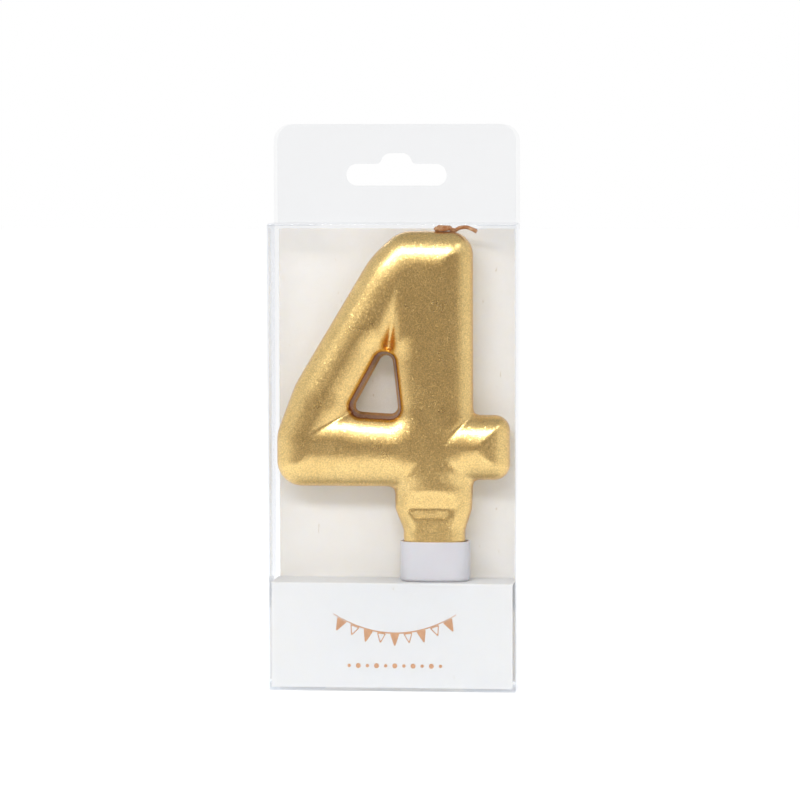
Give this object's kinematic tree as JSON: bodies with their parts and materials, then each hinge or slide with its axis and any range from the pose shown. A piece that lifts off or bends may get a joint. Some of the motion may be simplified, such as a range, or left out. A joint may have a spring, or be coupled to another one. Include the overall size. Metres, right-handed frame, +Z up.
{
  "type": "number birthday candle",
  "caption": "Gold moulded figure-four birthday candle on a white spiked cup, standing on a card shelf inside a clear folding box with a slotted hanging header.",
  "frame": {"origin": "centre of the pack's footprint, on the surface it stands on", "axes": "+Z up, towards the hanging header; the candle and the white card face -Y; +X is to the viewer's right"},
  "size_m": [0.0786, 0.019, 0.179],
  "materials": {
    "clear_film": "clear polyester film, glossy",
    "gold_wax": "metallic gold coat on wax, satin gloss",
    "wick_cord": "braided cotton, gold coated",
    "cup_plastic": "white moulded polypropylene, satin",
    "cream_card": "uncoated cream board",
    "white_card": "coated white board, satin"
  },
  "bodies": {
    "pack": {"sleeve_front_panel": "clear_film", "sleeve_back_panel": "clear_film", "sleeve_left_panel": "clear_film", "sleeve_right_panel": "clear_film", "sleeve_glue_flap": "clear_film", "insert_back_panel": "cream_card", "insert_shelf": "white_card", "insert_front_panel": "white_card", "insert_glue_tab": "white_card", "numeral_body": "gold_wax", "wick": "wick_cord", "holder": "cup_plastic"},
    "lid": {"lid_panel": "clear_film"},
    "header_front": {"header_front_layer": "clear_film"},
    "header_rear": {"header_rear_layer": "clear_film"},
    "top_flap_left": {"top_dust_flap_left": "clear_film"},
    "top_flap_right": {"top_dust_flap_right": "clear_film"},
    "bottom_lid": {"bottom_lid_panel": "clear_film"},
    "tuck_flap": {"bottom_tuck_flap": "clear_film"},
    "bottom_flap_left": {"bottom_dust_flap_left": "clear_film"},
    "bottom_flap_right": {"bottom_dust_flap_right": "clear_film"}
  },
  "joints": [
    {"name": "lid_hinge", "type": "hinge", "parent": "pack", "child": "lid", "pos_m": [0, -0.0095, 0.148], "axis": [1, 0, 0], "range_deg": [0, 100]},
    {"name": "header_front_crease", "type": "hinge", "parent": "lid", "child": "header_front", "pos_m": [0, 0.00885, 0.148], "axis": [1, 0, 0], "range_deg": [0, 80]},
    {"name": "header_rear_crease", "type": "hinge", "parent": "pack", "child": "header_rear", "pos_m": [0, 0.0095, 0.148], "axis": [1, 0, 0], "range_deg": [-80, 0]},
    {"name": "top_flap_left_crease", "type": "hinge", "parent": "pack", "child": "top_flap_left", "pos_m": [-0.03895, 0, 0.1473], "axis": [0, 1, 0], "range_deg": [0, 85]},
    {"name": "top_flap_right_crease", "type": "hinge", "parent": "pack", "child": "top_flap_right", "pos_m": [0.03895, 0, 0.1473], "axis": [0, -1, 0], "range_deg": [0, 85]},
    {"name": "bottom_lid_hinge", "type": "hinge", "parent": "pack", "child": "bottom_lid", "pos_m": [0, 0.0095, 0], "axis": [1, 0, 0], "range_deg": [0, 85]},
    {"name": "tuck_crease", "type": "hinge", "parent": "bottom_lid", "child": "tuck_flap", "pos_m": [0, -0.0082, 0.0003], "axis": [1, 0, 0], "range_deg": [-85, 0]},
    {"name": "bottom_flap_left_crease", "type": "hinge", "parent": "pack", "child": "bottom_flap_left", "pos_m": [-0.03895, 0, 0.0007], "axis": [0, -1, 0], "range_deg": [0, 85]},
    {"name": "bottom_flap_right_crease", "type": "hinge", "parent": "pack", "child": "bottom_flap_right", "pos_m": [0.03895, 0, 0.0007], "axis": [0, 1, 0], "range_deg": [0, 85]}
  ],
  "couplings": [
    {"joint": "tuck_crease", "follows": "bottom_lid_hinge", "ratio": -1}
  ]
}
